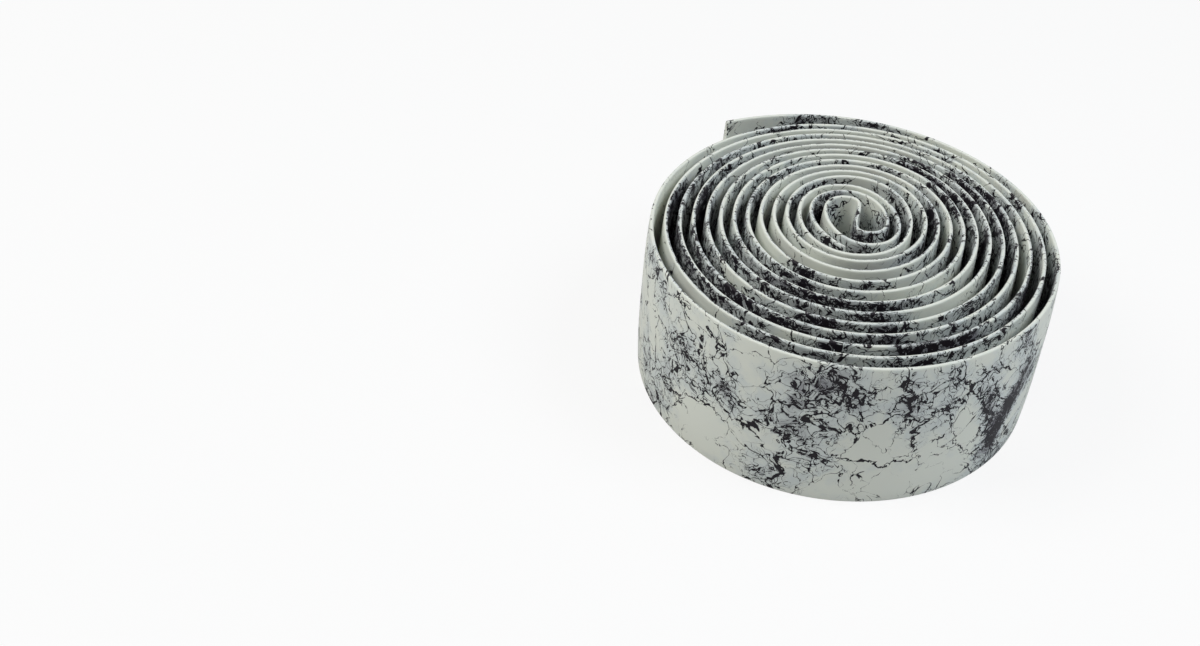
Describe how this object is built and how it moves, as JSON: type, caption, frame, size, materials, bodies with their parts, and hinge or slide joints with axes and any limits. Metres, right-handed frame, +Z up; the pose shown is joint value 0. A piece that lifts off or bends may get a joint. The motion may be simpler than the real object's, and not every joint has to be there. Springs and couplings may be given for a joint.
{
  "type": "handlebar tape roll",
  "caption": "Long marbled foam tape for bicycle handlebars, doubled back once in the middle and wound into a loose oval roll that stands on its edge.",
  "frame": {"origin": "middle of the footprint, on the surface that the roll's lower edge rests on", "axes": "+Z up along the roll's winding axis, -Y towards the side where the turns lie loosest; the free outer end is at the back left"},
  "size_m": [0.0754, 0.0822, 0.03],
  "materials": {
    "marbled_tape": "satin closed-cell foam with a smooth skin, off-white with black and grey marbling"
  },
  "bodies": {
    "root": {"handlebar_tape": "marbled_tape"}
  },
  "joints": []
}
